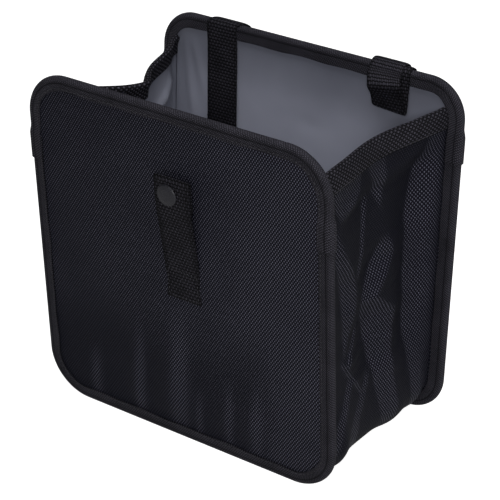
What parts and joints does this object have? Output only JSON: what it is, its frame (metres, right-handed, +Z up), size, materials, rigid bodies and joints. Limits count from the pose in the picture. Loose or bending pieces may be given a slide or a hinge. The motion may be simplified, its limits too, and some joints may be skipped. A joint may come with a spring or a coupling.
{
  "type": "car trash can",
  "caption": "Open-topped folding fabric bin for a car, with two stiff bound panels, a soft lined gusset between them, hanging straps and snap fasteners.",
  "frame": {"origin": "on the floor, under the middle of the object's box", "axes": "+Z up; -Y towards the front panel with the tab; +X to the right seen from the front"},
  "size_m": [0.2196, 0.145, 0.2164],
  "materials": {
    "woven_fabric": "black coated plain weave, slightly lustrous",
    "tape": "black ribbed binding tape",
    "webbing": "black basket-woven webbing",
    "film": "grey waterproof film, soft sheen",
    "board": "plain stiffening board, hidden",
    "snap_metal": "satin dark grey painted metal"
  },
  "bodies": {
    "root": {"front_panel_fabric": "woven_fabric", "front_board": "board", "front_liner": "film", "front_side_binding": "tape", "front_top_binding": "tape", "back_panel_fabric": "woven_fabric", "back_board": "board", "back_liner": "film", "back_side_binding": "tape", "back_top_binding": "tape", "gusset_fabric": "woven_fabric", "gusset_liner": "film", "left_rim_binding": "webbing", "right_rim_binding": "webbing", "front_tab": "webbing", "left_strap": "webbing", "right_strap": "webbing", "tab_snap_cap": "snap_metal", "tab_snap_socket": "snap_metal", "tab_snap_stud": "snap_metal", "tab_snap_rivet": "snap_metal", "left_snap_cap": "snap_metal", "left_snap_socket": "snap_metal", "left_snap_stud": "snap_metal", "left_snap_rivet": "snap_metal", "right_snap_cap": "snap_metal", "right_snap_socket": "snap_metal", "right_snap_stud": "snap_metal", "right_snap_rivet": "snap_metal"}
  },
  "joints": []
}
